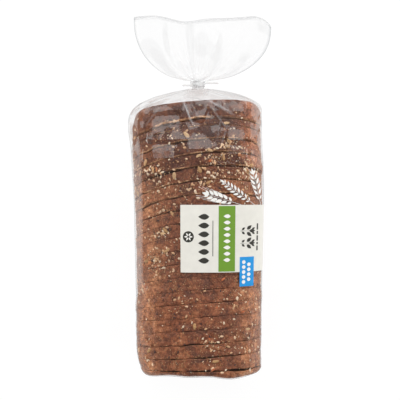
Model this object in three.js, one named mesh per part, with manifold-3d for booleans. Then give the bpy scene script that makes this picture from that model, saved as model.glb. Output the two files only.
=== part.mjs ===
// A sliced brown tin loaf with seeds on its crust, in a clear film bag. It lies on its flat base
// with the top crust up. The bag's mouth is gathered at a neck, tied, and spreads in a fan.
// Millimetres, +Z up, +Y from the loaf towards the neck and the mouth, +X to the label's side.
import * as THREE from "three";
import { mergeVertices } from "three/addons/utils/BufferGeometryUtils.js";
import Module from "manifold-3d";

const wasm = await Module();
wasm.setup();

// Loaf in its film: cross-section
const LOAF_HEIGHT = 108;
const WIDTH_AT_NECK = 127;
const WIDTH_AT_FRONT = 120;
const BASE_SHARE = 0.85;
const BASE_ROUND = 9;
const WIDEST_HEIGHT = 60;
const CROWN_POWER = 2.3;

// Loaf: stations along Y, on the top of the crust, from the front end to the neck end
const FRONT_END = -168;
const NECK_END = 93.5;
const FRONT_HEEL = 9;
const SLICE_PITCH = 12.66;
const SLICE_COUNT = 18;
const SECOND_SLICE = 6.5;
const END_ROUND = 8;
const END_BULGE = 1.5;

// Cuts between the slices, and how each slice stands a little apart from its neighbours
const CUT_DEPTH = 1.7;
const CUT_HALF_WIDTH = 0.8;
const SLICE_STEP = 0.9;
const YAW_AT_FRONT = 4;
const YAW_AT_NECK = 6.5;
const LEAN_AT_FRONT = 1;
const LEAN_AT_NECK = 10;
const BOW_AT_NECK = 5.5;
const SIDE_DRIFT = 2.6;

// The heel at the neck stands straighter than the slices, and the crown falls a little towards it
const HEEL_START = 75.4;
const HEEL_LEAN = 3;
const HEEL_BOW = 1.5;
const FALL_START = 35;
const CROWN_FALL = 4;

// Bag: shoulder, neck and fanned mouth
const NECK_X = -2.4;
const NECK_Y = 112.3;
const NECK_HEIGHT = 57;
const NECK_RADIUS = 5.6;
const NECK_LENGTH = 9;
const NECK_PLEATS = 9;
const SHOULDER_START = 86;
const SHOULDER_ROUND = 2.5;
const SHOULDER_HOLD = 3.2;
const SHOULDER_DROP = 0.65;
const PLEAT_START = 0.2;
const PLEAT_DEPTH = 0.07;
const FAN_LEFT = 61;
const FAN_RIGHT = 70;
const FAN_LENGTH = 64.5;
const FAN_SAG = 5;
const FAN_CORNER = 10;
const FAN_DROOP = 6;
const FAN_THICKNESS = 2.4;
const FAN_ROUND_NEAR = 2.4;
const FAN_ROUND_FAR = 1.8;
const SAG_MIDDLE = -0.1;
const SAG_WIDTH = 0.33;
const CORNER_START = 0.72;

// Waves across the fan: height, turns in radians over half the fan, and how uneven they are
const RUFFLE = 4.5;
const RUFFLE_TURNS = 7.5;
const FINE_RUFFLE = 1.6;
const FINE_TURNS = 19;
const WANDER = 0.07;
const WANDER_TURNS = 4.1;

// Tie round the neck
const TIE_GAP = 0.4;
const TIE_THICKNESS = 0.9;
const TIE_WIDTH = 4.4;
const TAIL_LEFT = 8;
const TAIL_RIGHT = 13.5;
const TAIL_THICKNESS = 1.1;
const TAIL_HEIGHT = 4.4;

// Label, printed on the film over the crown and down the right side
const LABEL_LEFT = -17.5;
const BAND_LEFT = 18.6;
const BAND_RIGHT = 34.6;
const LABEL_BACK = -4.5;
const LABEL_FRONT = -67;
const LABEL_SIDE_HEIGHT = 40;
const BADGE_LEFT = 39.2;
const BADGE_RIGHT = 53.4;
const BADGE_BACK = -53;
const BADGE_FRONT = -80.5;
const PRINT_LIFT = 0.9;
const PRINT_THICKNESS = 0.5;
const PRINT_GAP = 0.35;

// Seeds and flakes on the crust: length, width, thickness, how many and where they lie
const SEED_KINDS = [
  { length: 7.2, width: 4.2, thickness: 2.6, count: 34 },
  { length: 4.0, width: 3.2, thickness: 2.0, count: 40 },
];
const SEED_SINK = 0.25;
const SEED_SPACING = 7;

// Counts of steps round the section and across the fan
const CROWN_STEPS = 13;
const CORNER_STEPS = 3;
const BASE_STEPS = 2;
const FINE_STEPS = 60;
const SHOULDER_STEPS = 8;
const FAN_ACROSS = 38;
const FAN_ALONG = 8;

const crust = new THREE.MeshStandardMaterial({ color: 0x80543f, roughness: 0.4, metalness: 0 });
const tieFilm = new THREE.MeshStandardMaterial({ color: 0xe4e6e6, roughness: 0.25, metalness: 0 });
const creamPrint = new THREE.MeshStandardMaterial({ color: 0xebe8e0, roughness: 0.4, metalness: 0 });
const greenPrint = new THREE.MeshStandardMaterial({ color: 0x7a9b4c, roughness: 0.4, metalness: 0 });
const bluePrint = new THREE.MeshStandardMaterial({ color: 0x4ea4e0, roughness: 0.4, metalness: 0 });

// Seeded random numbers from 0 to 1
function randomSource(seed) {
  let state = seed;
  return () => {
    state = (state + 0x6d2b79f5) | 0;
    let mixed = Math.imul(state ^ (state >>> 15), 1 | state);
    mixed = (mixed + Math.imul(mixed ^ (mixed >>> 7), 61 | mixed)) ^ mixed;
    return ((mixed ^ (mixed >>> 14)) >>> 0) / 4294967296;
  };
}

function mix(a, b, share) {
  return a + (b - a) * share;
}

function smooth(low, high, value) {
  const share = Math.min(1, Math.max(0, (value - low) / (high - low)));
  return share * share * (3 - 2 * share);
}

// Half of the loaf's section, from the middle of the crown down the right side to the base's middle
function halfSection() {
  const halfWidth = WIDTH_AT_NECK / 2;
  const halfBase = halfWidth * BASE_SHARE;
  const points = [];
  for (let i = 0; i <= FINE_STEPS; i++) {
    const turn = (Math.PI / 2) * (1 - i / FINE_STEPS);
    const across = halfWidth * Math.max(0, Math.cos(turn)) ** (2 / CROWN_POWER);
    const rise = (LOAF_HEIGHT - WIDEST_HEIGHT) * Math.sin(turn) ** (2 / CROWN_POWER);
    points.push(new THREE.Vector2(across, WIDEST_HEIGHT + rise));
  }
  for (let i = 1; i <= FINE_STEPS; i++) {
    const share = i / FINE_STEPS;
    const across = mix(halfWidth, halfBase, 1 - Math.cos((share * Math.PI) / 2));
    points.push(new THREE.Vector2(across, mix(WIDEST_HEIGHT, BASE_ROUND, share)));
  }
  const sideEnd = points.length - 1;
  for (let i = 1; i <= FINE_STEPS; i++) {
    const turn = (i / FINE_STEPS) * (Math.PI / 2);
    const across = halfBase - BASE_ROUND * (1 - Math.cos(turn));
    points.push(new THREE.Vector2(across, BASE_ROUND * (1 - Math.sin(turn))));
  }
  const cornerEnd = points.length - 1;
  points.push(new THREE.Vector2(0, 0));
  const travelled = [0];
  for (let i = 1; i < points.length; i++) {
    travelled.push(travelled[i - 1] + points[i].distanceTo(points[i - 1]));
  }
  return { points, travelled, side: travelled[sideEnd], corner: travelled[cornerEnd] };
}

const section = halfSection();
const HALF_ROUND = section.travelled[section.travelled.length - 1];

// A point of the section at a distance round from the middle of the crown, right side positive
function sectionPoint(around) {
  const distance = Math.min(Math.abs(around), HALF_ROUND);
  let index = 1;
  while (index < section.travelled.length - 1 && section.travelled[index] < distance) {
    index++;
  }
  const start = section.travelled[index - 1];
  const share = (distance - start) / (section.travelled[index] - start);
  const point = section.points[index - 1].clone().lerp(section.points[index], share);
  point.x *= Math.sign(around) || 1;
  return point;
}

// Distance round the section of the point of the crown at a given sideways place
function aroundAt(x) {
  let low = 0;
  let high = section.side;
  for (let i = 0; i < 40; i++) {
    const middle = (low + high) / 2;
    if (sectionPoint(middle).x < Math.abs(x)) {
      low = middle;
    } else {
      high = middle;
    }
  }
  return low * (Math.sign(x) || 1);
}

// Sideways place of the loaf's middle, and its width, along its length
function loafMiddle(station) {
  return -1 - SIDE_DRIFT * smooth(10, 80, station);
}

function widthShare(station) {
  return mix(WIDTH_AT_FRONT, WIDTH_AT_NECK, smooth(FRONT_END, NECK_END, station)) / WIDTH_AT_NECK;
}

// Turns a place on a slice into the frame: slices are turned, lean and bow more towards the neck,
// and the heel there less again
function place(x, station, height) {
  const share = smooth(FRONT_END, 20, station);
  const heel = smooth(HEEL_START, NECK_END, station);
  const yaw = YAW_AT_FRONT * smooth(FRONT_END, -140, station)
    + (YAW_AT_NECK - YAW_AT_FRONT) * (smooth(-60, 40, station) - heel);
  const lean = mix(mix(LEAN_AT_FRONT, LEAN_AT_NECK, share), HEEL_LEAN, heel);
  const bow = mix(BOW_AT_NECK * share, HEEL_BOW, heel) * (x / (WIDTH_AT_NECK / 2)) ** 2;
  const fall = (CROWN_FALL / LOAF_HEIGHT) * smooth(FALL_START, NECK_END, station);
  const turned = x * Math.tan(THREE.MathUtils.degToRad(yaw));
  const leant = (LOAF_HEIGHT - height) * Math.tan(THREE.MathUtils.degToRad(lean));
  return new THREE.Vector3(loafMiddle(station) + x, station + turned - leant - bow, height * (1 - fall));
}

// Distances round the section at which each ring has a point
function ringStops() {
  const half = [];
  for (let i = 0; i < CROWN_STEPS; i++) {
    half.push((section.side * i) / CROWN_STEPS);
  }
  for (let i = 0; i < CORNER_STEPS; i++) {
    half.push(mix(section.side, section.corner, i / CORNER_STEPS));
  }
  for (let i = 0; i < BASE_STEPS; i++) {
    half.push(mix(section.corner, HALF_ROUND, i / BASE_STEPS));
  }
  const left = half.slice(1).reverse().map((around) => -around);
  return [...half, HALF_ROUND, ...left];
}

const stops = ringStops();

// A ring round a slice; the base stays flat whatever the ring's inset and step are
function sliceRing(station, inset, step) {
  return stops.map((around) => {
    const point = sectionPoint(around);
    const narrower = widthShare(station) * (1 - inset / (WIDTH_AT_NECK / 2));
    const lower = (1 - inset / LOAF_HEIGHT) * (1 + step.rise / LOAF_HEIGHT);
    const aside = (step.aside * point.y) / LOAF_HEIGHT;
    return place(point.x * narrower + aside, station, point.y * lower);
  });
}

// A ring shrunk towards the middle of the section, for the rounded ends
function endRing(station, shrink) {
  const middle = LOAF_HEIGHT / 2;
  return stops.map((around) => {
    const point = sectionPoint(around);
    const narrower = widthShare(station) * (1 - shrink / (WIDTH_AT_NECK / 2));
    const height = middle + (point.y - middle) * (1 - shrink / middle);
    return place(point.x * narrower, station, height);
  });
}

// Stations of the cuts, from the front heel to the thin slice behind the neck's heel
function cutStations() {
  const cuts = [];
  for (let i = 0; i <= SLICE_COUNT; i++) {
    cuts.push(FRONT_END + FRONT_HEEL + i * SLICE_PITCH);
  }
  cuts.push(cuts[SLICE_COUNT] + SECOND_SLICE);
  return cuts;
}

// Rings of the front end and of all slices
function loafRings() {
  const random = randomSource(11);
  const rings = [];
  rings.push(endRing(FRONT_END - END_BULGE, WIDTH_AT_FRONT / 4));
  for (const share of [0, 0.3, 0.7]) {
    const turn = (share * Math.PI) / 2;
    rings.push(endRing(FRONT_END + END_ROUND * (1 - Math.cos(turn)), END_ROUND * (1 - Math.sin(turn))));
  }
  let step = { rise: 0, aside: 0 };
  for (const cut of cutStations()) {
    rings.push(sliceRing(cut - CUT_HALF_WIDTH, 0, step));
    rings.push(sliceRing(cut, CUT_DEPTH, step));
    step = { rise: (random() - 0.8) * SLICE_STEP, aside: (random() - 0.5) * SLICE_STEP };
    rings.push(sliceRing(cut + CUT_HALF_WIDTH, 0, step));
  }
  return rings;
}

// Rings of the film from the last slice over the heel's edge to the neck, with radiating pleats.
// The film narrows sideways from the start, and keeps its height until it is over the heel's edge.
function shoulderRings() {
  const start = endRing(SHOULDER_START, 0);
  const middle = new THREE.Vector3();
  start.forEach((point) => middle.addScaledVector(point, 1 / start.length));
  const neck = new THREE.Vector3(NECK_X, NECK_Y - NECK_LENGTH / 2, NECK_HEIGHT);
  const rings = [];
  for (let i = 0; i <= SHOULDER_STEPS; i++) {
    const travel = Math.sin((i / SHOULDER_STEPS) * (Math.PI / 2));
    const narrow = 1 - travel ** SHOULDER_ROUND;
    const low = (1 - travel ** SHOULDER_HOLD) ** SHOULDER_DROP;
    const centre = middle.clone().lerp(neck, travel);
    rings.push(start.map((point) => {
      const out = point.clone().sub(middle);
      const turn = Math.atan2(out.z, out.x);
      const pleat = 1 + PLEAT_DEPTH * smooth(PLEAT_START, 1, travel) * Math.cos(NECK_PLEATS * turn);
      const radius = NECK_RADIUS * smooth(0, 1, travel) * pleat;
      return centre.clone().add(new THREE.Vector3(
        out.x * narrow * pleat + Math.cos(turn) * radius,
        out.y * (1 - travel),
        out.z * low * (2 - pleat) + Math.sin(turn) * radius,
      ));
    }));
  }
  const tip = rings[rings.length - 1];
  rings.push(tip.map((point) => point.clone().add(new THREE.Vector3(0, NECK_LENGTH, 0))));
  return rings;
}

// The fanned mouth's middle surface: aside runs from -1 to 1, out from the neck 0 to the mouth 1.
// Broad waves reach the mouth's edge, and fine pleats fade out before it.
function fanPoint(aside, out) {
  const reach = aside < 0 ? FAN_LEFT : FAN_RIGHT;
  const widen = (1 - (1 - out) ** FAN_ROUND_NEAR) ** (1 / FAN_ROUND_FAR);
  const edge = FAN_LENGTH
    - FAN_SAG * Math.exp(-(((aside - SAG_MIDDLE) / SAG_WIDTH) ** 2))
    - FAN_CORNER * smooth(CORNER_START, 1, aside);
  const wander = aside + WANDER * Math.sin(WANDER_TURNS * aside + 0.6);
  const ruffle = RUFFLE * out * Math.sin(RUFFLE_TURNS * wander + 0.7)
    + FINE_RUFFLE * Math.sin(Math.PI * out) * Math.sin(FINE_TURNS * wander + 1.9);
  return new THREE.Vector3(
    NECK_X + aside * mix(NECK_RADIUS * 0.8, reach, widen),
    NECK_Y + NECK_LENGTH * 0.3 + edge * out,
    NECK_HEIGHT - FAN_DROOP * out * out + ruffle,
  );
}

// Rings round the fan's sheet, from inside the neck to the mouth
function fanRings() {
  const rings = [];
  for (let j = 0; j <= FAN_ALONG; j++) {
    const out = (j / FAN_ALONG) ** 1.3;
    const upper = [];
    const lower = [];
    for (let i = 0; i <= FAN_ACROSS; i++) {
      const point = fanPoint((2 * i) / FAN_ACROSS - 1, out);
      const half = new THREE.Vector3(0, 0, FAN_THICKNESS / 2);
      upper.push(point.clone().add(half));
      lower.unshift(point.clone().sub(half));
    }
    rings.push([...upper, ...lower]);
  }
  return rings;
}

// Joins rings of equal count into a closed skin; the ends close in strips across the ring
function loft(rings) {
  const count = rings[0].length;
  const faces = [];
  for (let ring = 0; ring + 1 < rings.length; ring++) {
    for (let i = 0; i < count; i++) {
      const here = ring * count + i;
      const next = ring * count + ((i + 1) % count);
      faces.push([here, next, here + count], [next, next + count, here + count]);
    }
  }
  const last = (rings.length - 1) * count;
  for (let i = 0; i < count / 2 - 1; i++) {
    const mirror = count - 1 - i;
    for (const [start, turned] of [[0, true], [last, false]]) {
      const strip = [[i, i + 1, mirror], [i + 1, mirror - 1, mirror]];
      for (const [a, b, c] of strip) {
        faces.push(turned ? [start + c, start + b, start + a] : [start + a, start + b, start + c]);
      }
    }
  }
  return solidOf(rings.flat(), faces);
}

// A closed solid from points and triangles, turned so that its faces point out
function solidOf(points, faces) {
  let volume = 0;
  for (const [a, b, c] of faces) {
    volume += points[a].dot(points[b].clone().cross(points[c]));
  }
  const outward = volume > 0 ? faces : faces.map(([a, b, c]) => [a, c, b]);
  return new wasm.Manifold(new wasm.Mesh({
    numProp: 3,
    vertProperties: new Float32Array(points.flatMap((point) => point.toArray())),
    triVerts: new Uint32Array(outward.flat()),
  }));
}

// A closed solid from one of three's geometries, placed by a matrix
function solidFrom(geometry, matrix) {
  const bare = geometry.clone();
  bare.deleteAttribute("normal");
  bare.deleteAttribute("uv");
  const merged = mergeVertices(bare.applyMatrix4(matrix), 1e-4);
  return new wasm.Manifold(new wasm.Mesh({
    numProp: 3,
    vertProperties: new Float32Array(merged.attributes.position.array),
    triVerts: new Uint32Array(merged.index.array),
  }));
}

function meshOf(name, solid, material) {
  const result = solid.getMesh();
  const geometry = new THREE.BufferGeometry();
  const positions = new Float32Array(result.vertProperties);
  geometry.setAttribute("position", new THREE.BufferAttribute(positions, 3));
  geometry.setIndex(new THREE.BufferAttribute(new Uint32Array(result.triVerts), 1));
  geometry.computeVertexNormals();
  const mesh = new THREE.Mesh(geometry, material);
  mesh.name = name;
  return mesh;
}

// True where the printed label or its badge covers the crust, with a margin
function underPrint(position, margin) {
  const besides = position.x > LABEL_LEFT - margin;
  return besides && position.y < LABEL_BACK + margin && position.y > BADGE_FRONT - margin;
}

// Seeds lie thicker near the neck and on the right, and thin out in the middle of the crown
function seedShare(around, station) {
  const nearNeck = smooth(-40, 60, station);
  const onRight = smooth(0, 45, around);
  return 0.25 + 0.45 * nearNeck + 0.3 * onRight;
}

// Places of one kind of seed, apart from each other and from those placed before
function seedPlaces(kind, taken, random) {
  const places = [];
  const reach = aroundAt(WIDTH_AT_FRONT * 0.47);
  for (let tries = 0; tries < 4000 && places.length < kind.count; tries++) {
    const around = mix(-reach, reach, random());
    const station = mix(FRONT_END + END_ROUND, NECK_END - 22, random());
    const spin = random() * Math.PI;
    const point = sectionPoint(around);
    const position = place(point.x * widthShare(station), station, point.y);
    const apart = taken.every((other) => other.distanceTo(position) > SEED_SPACING);
    if (random() < seedShare(around, station) && apart && !underPrint(position, kind.length)) {
      taken.push(position);
      places.push({ position, normal: crownNormal(around), spin });
    }
  }
  return places;
}

function crownNormal(around) {
  const before = sectionPoint(around - 0.5);
  const after = sectionPoint(around + 0.5);
  const along = after.sub(before).normalize();
  return new THREE.Vector3(-along.y, 0, along.x);
}

function seedSolids() {
  const random = randomSource(23);
  const taken = [];
  const grain = new THREE.SphereGeometry(0.5, 5, 4);
  const seeds = [];
  for (const kind of SEED_KINDS) {
    for (const { position, normal, spin } of seedPlaces(kind, taken, random)) {
      const upright = new THREE.Quaternion().setFromUnitVectors(new THREE.Vector3(0, 0, 1), normal);
      const spun = new THREE.Quaternion().setFromAxisAngle(new THREE.Vector3(0, 0, 1), spin);
      const centre = position.addScaledVector(normal, -kind.thickness * SEED_SINK);
      const size = new THREE.Vector3(kind.length, kind.width, kind.thickness);
      const matrix = new THREE.Matrix4().compose(centre, upright.multiply(spun), size);
      seeds.push(solidFrom(grain, matrix));
    }
  }
  return seeds;
}

function makeBag() {
  let bag = loft([...loafRings(), ...shoulderRings()]).add(loft(fanRings()));
  for (const seed of seedSolids()) {
    bag = bag.add(seed);
  }
  return meshOf("bag", bag, crust);
}

// The tie: a band round the neck with two tails that stand on edge
function makeTie() {
  const inner = NECK_RADIUS * (1 + PLEAT_DEPTH) + TIE_GAP;
  const outer = inner + TIE_THICKNESS;
  const outline = new THREE.Shape().absarc(0, 0, outer, 0, Math.PI * 2);
  outline.holes.push(new THREE.Path().absarc(0, 0, inner, 0, Math.PI * 2));
  const band = new THREE.ExtrudeGeometry(outline, {
    depth: TIE_WIDTH, bevelEnabled: false, curveSegments: 20,
  });
  const upright = new THREE.Matrix4().makeRotationX(Math.PI / 2);
  const stand = new THREE.Matrix4().makeTranslation(NECK_X, NECK_Y + TIE_WIDTH / 2, NECK_HEIGHT);
  let tie = solidFrom(band, stand.multiply(upright));
  for (const [side, length, shift] of [[-1, TAIL_LEFT, -1], [1, TAIL_RIGHT, 1]]) {
    const root = new THREE.Vector3(NECK_X + side * (outer - TIE_THICKNESS / 2), NECK_Y + shift, NECK_HEIGHT);
    const bend = root.clone().add(new THREE.Vector3((side * length) / 2, shift * 0.4, 0.8));
    const end = root.clone().add(new THREE.Vector3(side * length, shift * 0.3, -0.6));
    const path = new THREE.QuadraticBezierCurve3(root, bend, end);
    tie = tie.add(sweptStrip(path, TAIL_THICKNESS, TAIL_HEIGHT));
  }
  return meshOf("tie", tie, tieFilm);
}

// A flat strip along a path, its broad side upright
function sweptStrip(path, thickness, height) {
  const rings = path.getPoints(6).map((point) => [
    [-1, -1], [1, -1], [1, 1], [-1, 1],
  ].map(([aside, up]) => new THREE.Vector3(
    point.x, point.y + (aside * thickness) / 2, point.z + (up * height) / 2,
  )));
  return loft(rings);
}

// A thin printed field that follows the crown, between two places round it and two along Y
function printedField(aroundStart, aroundEnd, front, back) {
  const across = Math.max(4, Math.ceil((aroundEnd - aroundStart) / 5));
  const rings = [front, (front + back) / 2, back].map((along) => {
    const outer = [];
    const inner = [];
    for (let i = 0; i <= across; i++) {
      const around = mix(aroundStart, aroundEnd, i / across);
      const point = sectionPoint(around);
      const normal = crownNormal(around);
      const base = new THREE.Vector3(
        loafMiddle(along) + point.x * widthShare(along), along, point.y,
      );
      inner.unshift(base.clone().addScaledVector(normal, PRINT_LIFT));
      outer.push(base.clone().addScaledVector(normal, PRINT_LIFT + PRINT_THICKNESS));
    }
    return [...outer, ...inner];
  });
  return loft(rings);
}

// Distance round the section at a height on the right side, below the widest line
function aroundAtHeight(height) {
  let around = section.side;
  while (sectionPoint(around).y < height) {
    around -= 0.5;
  }
  return around;
}

function makeLabel() {
  const badgeStart = aroundAt(BADGE_LEFT);
  const badgeEnd = aroundAt(BADGE_RIGHT);
  const room = new THREE.Matrix4().compose(
    new THREE.Vector3(
      loafMiddle(0) + (BADGE_LEFT + BADGE_RIGHT) / 2,
      (BADGE_FRONT + BADGE_BACK) / 2,
      LOAF_HEIGHT,
    ),
    new THREE.Quaternion(),
    new THREE.Vector3(
      BADGE_RIGHT - BADGE_LEFT + 2 * PRINT_GAP,
      BADGE_BACK - BADGE_FRONT + 2 * PRINT_GAP,
      LOAF_HEIGHT,
    ),
  );
  const left = printedField(aroundAt(LABEL_LEFT), aroundAt(BAND_LEFT) - PRINT_GAP, LABEL_FRONT, LABEL_BACK);
  const band = printedField(aroundAt(BAND_LEFT), aroundAt(BAND_RIGHT), LABEL_FRONT, LABEL_BACK);
  const right = printedField(
    aroundAt(BAND_RIGHT) + PRINT_GAP, aroundAtHeight(LABEL_SIDE_HEIGHT), LABEL_FRONT, LABEL_BACK,
  );
  const cut = right.subtract(solidFrom(new THREE.BoxGeometry(1, 1, 1), room));
  const badge = printedField(badgeStart + 1, badgeEnd - 1, BADGE_FRONT, BADGE_BACK);
  return [
    meshOf("label_left", left, creamPrint),
    meshOf("label_band", band, greenPrint),
    meshOf("label_right", cut, creamPrint),
    meshOf("label_badge", badge, bluePrint),
  ];
}

// The whole, moved so that its origin is the middle of the underside of its box
const loafInBag = new THREE.Group();
loafInBag.add(makeBag(), makeTie(), ...makeLabel());
const box = new THREE.Box3().setFromObject(loafInBag);
const centre = box.getCenter(new THREE.Vector3());
loafInBag.position.set(-centre.x, -centre.y, -box.min.z);

export default loafInBag;
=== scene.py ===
"""A sliced brown tin loaf with seeds on its crust, in a clear film bag, seen from straight above.

The loaf's slices, the seeds, the film, its print and the tie are built in millimetres from the same
named sizes as the solids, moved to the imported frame's place and turned into metres by add_piece.
"""
import math

import bpy
import numpy as np
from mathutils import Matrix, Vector, noise


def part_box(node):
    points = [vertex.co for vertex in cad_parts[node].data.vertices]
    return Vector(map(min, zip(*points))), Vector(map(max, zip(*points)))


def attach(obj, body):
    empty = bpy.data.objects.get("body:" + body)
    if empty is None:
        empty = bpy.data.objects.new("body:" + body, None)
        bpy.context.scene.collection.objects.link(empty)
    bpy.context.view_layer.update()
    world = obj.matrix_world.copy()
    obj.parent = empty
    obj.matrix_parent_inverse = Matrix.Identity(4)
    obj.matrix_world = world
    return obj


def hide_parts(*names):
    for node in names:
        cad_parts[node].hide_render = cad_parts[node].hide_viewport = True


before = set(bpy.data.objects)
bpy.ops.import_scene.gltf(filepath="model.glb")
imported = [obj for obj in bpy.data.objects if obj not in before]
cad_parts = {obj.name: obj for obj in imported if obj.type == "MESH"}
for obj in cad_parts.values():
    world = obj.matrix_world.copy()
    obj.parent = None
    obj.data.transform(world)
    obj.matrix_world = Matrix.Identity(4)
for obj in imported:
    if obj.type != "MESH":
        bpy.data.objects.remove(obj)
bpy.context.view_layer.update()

MM = 0.001

# Section of the film round the loaf
LOAF_HEIGHT = 108.0
WIDTH_AT_NECK = 127.0
WIDTH_AT_FRONT = 120.0
BASE_SHARE = 0.85
BASE_ROUND = 9.0
WIDEST_HEIGHT = 60.0
CROWN_POWER = 2.3

# Stations along Y on top of the crust
FRONT_END = -168.0
NECK_END = 93.5
FRONT_HEEL = 9.0
SLICE_PITCH = 12.66
SLICE_COUNT = 18
SECOND_SLICE = 6.5
END_ROUND = 8.0

# How the slices stand: degrees for turns and leans
YAW_AT_FRONT = 4.0
YAW_AT_NECK = 6.5
LEAN_AT_NECK = 10.0
LEAN_AT_FRONT = 1.0
BOW_AT_NECK = 5.5
SIDE_DRIFT = 2.6
HEEL_START = 75.4
HEEL_LEAN = 3.0
HEEL_BOW = 1.5
FALL_START = 35.0
CROWN_FALL = 4.0
FRONT_LEFT_TAPER = 0.075
FRONT_DRAWN_IN = 2.4
FRONT_WAVE = 1.3

# Bread inside the film
FILM_GAP = 1.7
CLING_GAP = 0.7
HEEL_ROUND_ASIDE = 11.0
HEEL_ROUND_UP = 8.0

# Cuts counted from the front end: the opening on top of those that gape
CUT_OPENING = 0.5
OPEN_CUTS = {
    1: 2.1, 2: 1.0, 3: 1.0, 12: 1.3, 13: 1.2, 14: 1.9, 15: 1.4, 16: 2.7, 17: 1.6, 18: 1.8,
    19: 1.4, 20: 2.0,
}
FIRST_TORN_SLICE = 14
SOFT_FRONT_SLICES = 4
EDGE_ROUND = 0.3
SOFT_EDGE_ROUND = 0.45
TORN_EDGE_ROUND = 1.1

# Bag
NECK_X = -2.4
NECK_Y = 112.3
NECK_HEIGHT = 57.0
NECK_RADIUS = 5.6
NECK_LENGTH = 9.0
SHOULDER_START = 86.0
SHOULDER_ROUND = 2.5
SHOULDER_HOLD = 1.75
SHOULDER_DROP = 0.65
NECK_FOLDS = 8.0
FOLD_DEPTH = 0.6
FAN_LEFT = 62.8
FAN_RIGHT = 72.0
FAN_LENGTH = 64.5
FAN_SAG = 5.0
FAN_CORNER = 13.0
FAN_DROOP = 6.0
FAN_ROUND_NEAR = 2.4
FAN_ROUND_FAR = 1.8
SAG_MIDDLE = -0.1
SAG_WIDTH = 0.33
CORNER_START = 0.72
RUFFLE = 4.5
RUFFLE_TURNS = 7.5
FINE_RUFFLE = 1.6
FINE_TURNS = 19.0
WANDER = 0.07
WANDER_TURNS = 4.1
FAN_START = 2.4
FAN_APART = 3.0
FAN_LIP = 2.2
FAN_EDGE_POWER = 12.0
HEM_DEPTH = 0.055
HEM_GAP = 0.5
BILLOW = 1.5
BILLOW_TURNS = 8.0

# Tie
TIE_GAP = 0.4
TIE_THICKNESS = 0.9
TIE_WIDTH = 4.4
TAIL_LEFT = 8.0
TAIL_RIGHT = 13.5
TAIL_THICKNESS = 1.1
TAIL_HEIGHT = 4.4
TAIL_ROWS = 14
BAND_STEPS = 72
BAND_CORNER = 0.3
LINE_ROWS = 9

# Print on the film: sideways places are from the loaf's middle
LABEL_LEFT = -17.5
LABEL_BACK = -4.5
LABEL_FRONT = -67.0
LABEL_SIDE_HEIGHT = 40.0
BAND_LEFT = 18.6
BAND_RIGHT = 34.6
BADGE_LEFT = 39.2
BADGE_RIGHT = 53.4
BADGE_BACK = -53.0
BADGE_FRONT = -80.5

# How far the printed fields and shapes lie over the film, each over the one below it
PANEL_LIFT = 0.10
EARS_LIFT = 0.12
BAND_LIFT = 0.17
DARK_LIFT = 0.20
BADGE_LIFT = 0.22
GRAINS_LIFT = 0.25
DOTS_LIFT = 0.30

# Camera: straight above the middle of the picture
CAMERA_ABOVE = 1000.0
REFERENCE_HEIGHT = 75.0
PICTURE_WIDTH = 381.6
SENSOR_WIDTH = 36.0

# Film: share mirrored head on and at the steepest slant, how much of it is kept in the dull and
# bright patches near the neck, where the film clings and in the mouth, the share of haze, of painted
# white (painted highlight on creases and streaks, and milk at the neck) and its tint, the tint of the
# painted shade at folded edges, that shade's share over the whole fan and on its rim, and the tints
# of film at a growing slant
FILM_SHINE = 0.06
FILM_EDGE_SHINE = 0.48
DULL_PATCH = 0.3
BRIGHT_PATCH = 1.5
TIGHT_SHINE = 0.32
MOUTH_SHINE = 0.45
FILM_HAZE = 0.003
MOUTH_HAZE = 0.05
MILK_AND_HIGHLIGHT_HAZE = 0.34
EDGE_SHADE_TINT = (0.84, 0.845, 0.85)
MILK_AND_HIGHLIGHT_TINT = (0.985, 0.985, 0.985)
FAN_GREY = 0.07
RIM_GREY = 0.6
FILM_TINTS = (
    (0.0, (0.965, 0.965, 0.966)), (0.4, (0.962, 0.962, 0.963)),
    (0.75, (0.905, 0.907, 0.91)), (1.0, (0.50, 0.505, 0.51)),
)

# Other materials: how far the sides' calm brown hides the mottling, how uneven the ink is,
# and how opaque the tie is
EVEN_SIDE_SHARE = 0.62
INK_UNEVENNESS = 0.03
TIE_BODY_SHARE = 0.4

# Floor, in metres: half its width, and its height just below the part
FLOOR_REACH = 6.0
FLOOR_HEIGHT = -0.0005

# Light, as radiance where white is 1
FLOOR_GLOW = 0.925
FLOOR_PALENESS = 0.1
WORLD_LIGHT = 0.2
PANEL_LIGHT = 1.45
FILL_LIGHT = 0.42
SIDE_LIGHT = 2.0


# Small helpers


def mix(a, b, share):
    return a + (b - a) * share


def smooth(low, high, value):
    """A smooth step from 0 at low to 1 at high, which may be the smaller of the two."""
    share = np.clip((value - low) / (high - low), 0.0, 1.0)
    return share * share * (3.0 - 2.0 * share)


def noise_at(points, size, seed=0.0):
    """Smooth noise of about -1 to 1 at each point, with features of the given size."""
    offset = Vector((seed * 17.3, seed * 5.1, seed * 9.7))
    return np.array([noise.noise(Vector(p) / size + offset) for p in points])


def frame_shift():
    """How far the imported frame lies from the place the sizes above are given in."""
    low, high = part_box("tie")
    middle = (np.array(low) + np.array(high)) / 2.0 / MM
    return np.array([
        middle[0] - NECK_X - (TAIL_RIGHT - TAIL_LEFT) / 2.0,
        middle[1] - NECK_Y,
        0.0,
    ])


SHIFT = frame_shift()


def add_object(name, data):
    thing = bpy.data.objects.new(name, data)
    bpy.context.scene.collection.objects.link(thing)
    return thing


def add_piece(name, points, faces, materials, face_material=None, flat=False):
    """A mesh from points in millimetres; face_material gives each face its material's number."""
    mesh = bpy.data.meshes.new(name)
    placed = (np.asarray(points, dtype=float) + SHIFT) * MM
    mesh.from_pydata(placed.tolist(), [], [tuple(map(int, face)) for face in faces])
    for material in materials:
        mesh.materials.append(material)
    if face_material is not None:
        mesh.polygons.foreach_set("material_index", np.asarray(face_material, dtype=np.int32))
    mesh.polygons.foreach_set("use_smooth", np.full(len(mesh.polygons), not flat))
    mesh.update()
    piece = add_object(name, mesh)
    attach(piece, "root")
    return piece


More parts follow.
